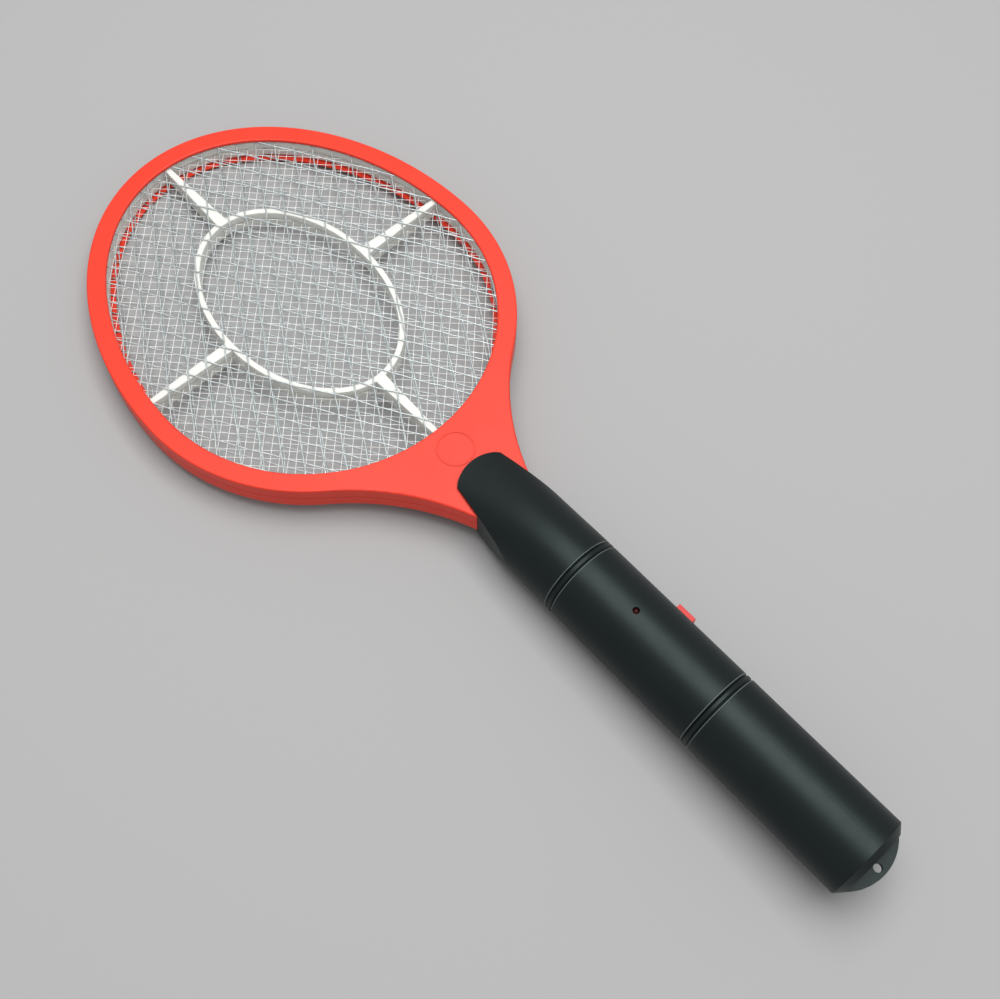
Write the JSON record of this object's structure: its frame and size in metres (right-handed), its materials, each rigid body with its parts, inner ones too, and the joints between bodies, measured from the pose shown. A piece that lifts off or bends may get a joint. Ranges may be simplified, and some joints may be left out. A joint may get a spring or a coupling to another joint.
{
  "type": "electric fly swatter",
  "caption": "Oval racket-shaped insect zapper with layered wire nets in a two-shell frame, on a round battery handle with a side push button, indicator lamp and hanging tab.",
  "frame": {"origin": "below the middle of the overall length, on the long axis, level with the lowest line of the handle", "axes": "+X along the handle towards its hanging tab, +Z out of the front net, +Y towards the push button"},
  "size_m": [0.401, 0.1606, 0.033],
  "materials": {
    "red_plastic": "moulded, satin gloss",
    "black_plastic": "moulded, satin",
    "ivory_plastic": "moulded, satin",
    "net_steel": "galvanised wire",
    "lead_red": "insulated wire",
    "lead_black": "insulated wire",
    "screw_steel": "zinc plated",
    "contact_steel": "nickel plated",
    "battery_skin": "printed film over the steel can",
    "board": "phenolic laminate",
    "ferrite": "sintered ferrite",
    "copper_winding": "enamelled wire under tape",
    "capacitor_film": "dipped film capacitor",
    "capacitor_disc": "dipped disc",
    "diode_body": "moulded epoxy",
    "resistor_body": "painted film resistor",
    "led_lens": "tinted lens",
    "switch_black": "moulded"
  },
  "bodies": {
    "racket": {"front_frame": "red_plastic", "rear_frame": "red_plastic", "front_net": "net_steel", "middle_net": "net_steel", "rear_net": "net_steel", "front_spacer": "ivory_plastic", "rear_spacer": "ivory_plastic", "front_lead": "lead_red", "middle_lead": "lead_red", "rear_lead": "lead_black", "handle_front": "black_plastic", "handle_rear": "black_plastic", "handle_screws": "screw_steel", "battery_tray": "black_plastic", "positive_contact": "contact_steel", "negative_contact": "contact_steel", "bridge_contact": "contact_steel", "front_spring": "contact_steel", "rear_spring": "contact_steel", "battery_1": "battery_skin", "battery_2": "battery_skin", "positive_lead": "lead_red", "negative_lead": "lead_black", "circuit_board": "board", "board_screws": "screw_steel", "transformer_core": "ferrite", "transformer_winding": "copper_winding", "transistor": "diode_body", "storage_capacitor": "capacitor_film", "multiplier_capacitors": "capacitor_disc", "multiplier_diodes": "diode_body", "resistors": "resistor_body", "indicator_led": "led_lens", "led_legs": "contact_steel", "switch_body": "switch_black"},
    "cover": {"battery_cover": "black_plastic"},
    "button": {"push_button": "red_plastic", "switch_plunger": "switch_black"}
  },
  "joints": [
    {"name": "cover_pull", "type": "slide", "parent": "racket", "child": "cover", "axis": [1, 0, 0], "range_m": [0, 0.075]},
    {"name": "button_press", "type": "slide", "parent": "racket", "child": "button", "axis": [0, -1, 0], "range_m": [0, 0.0012], "stiffness_N_per_m": 900, "springref_m": -0.0006}
  ]
}
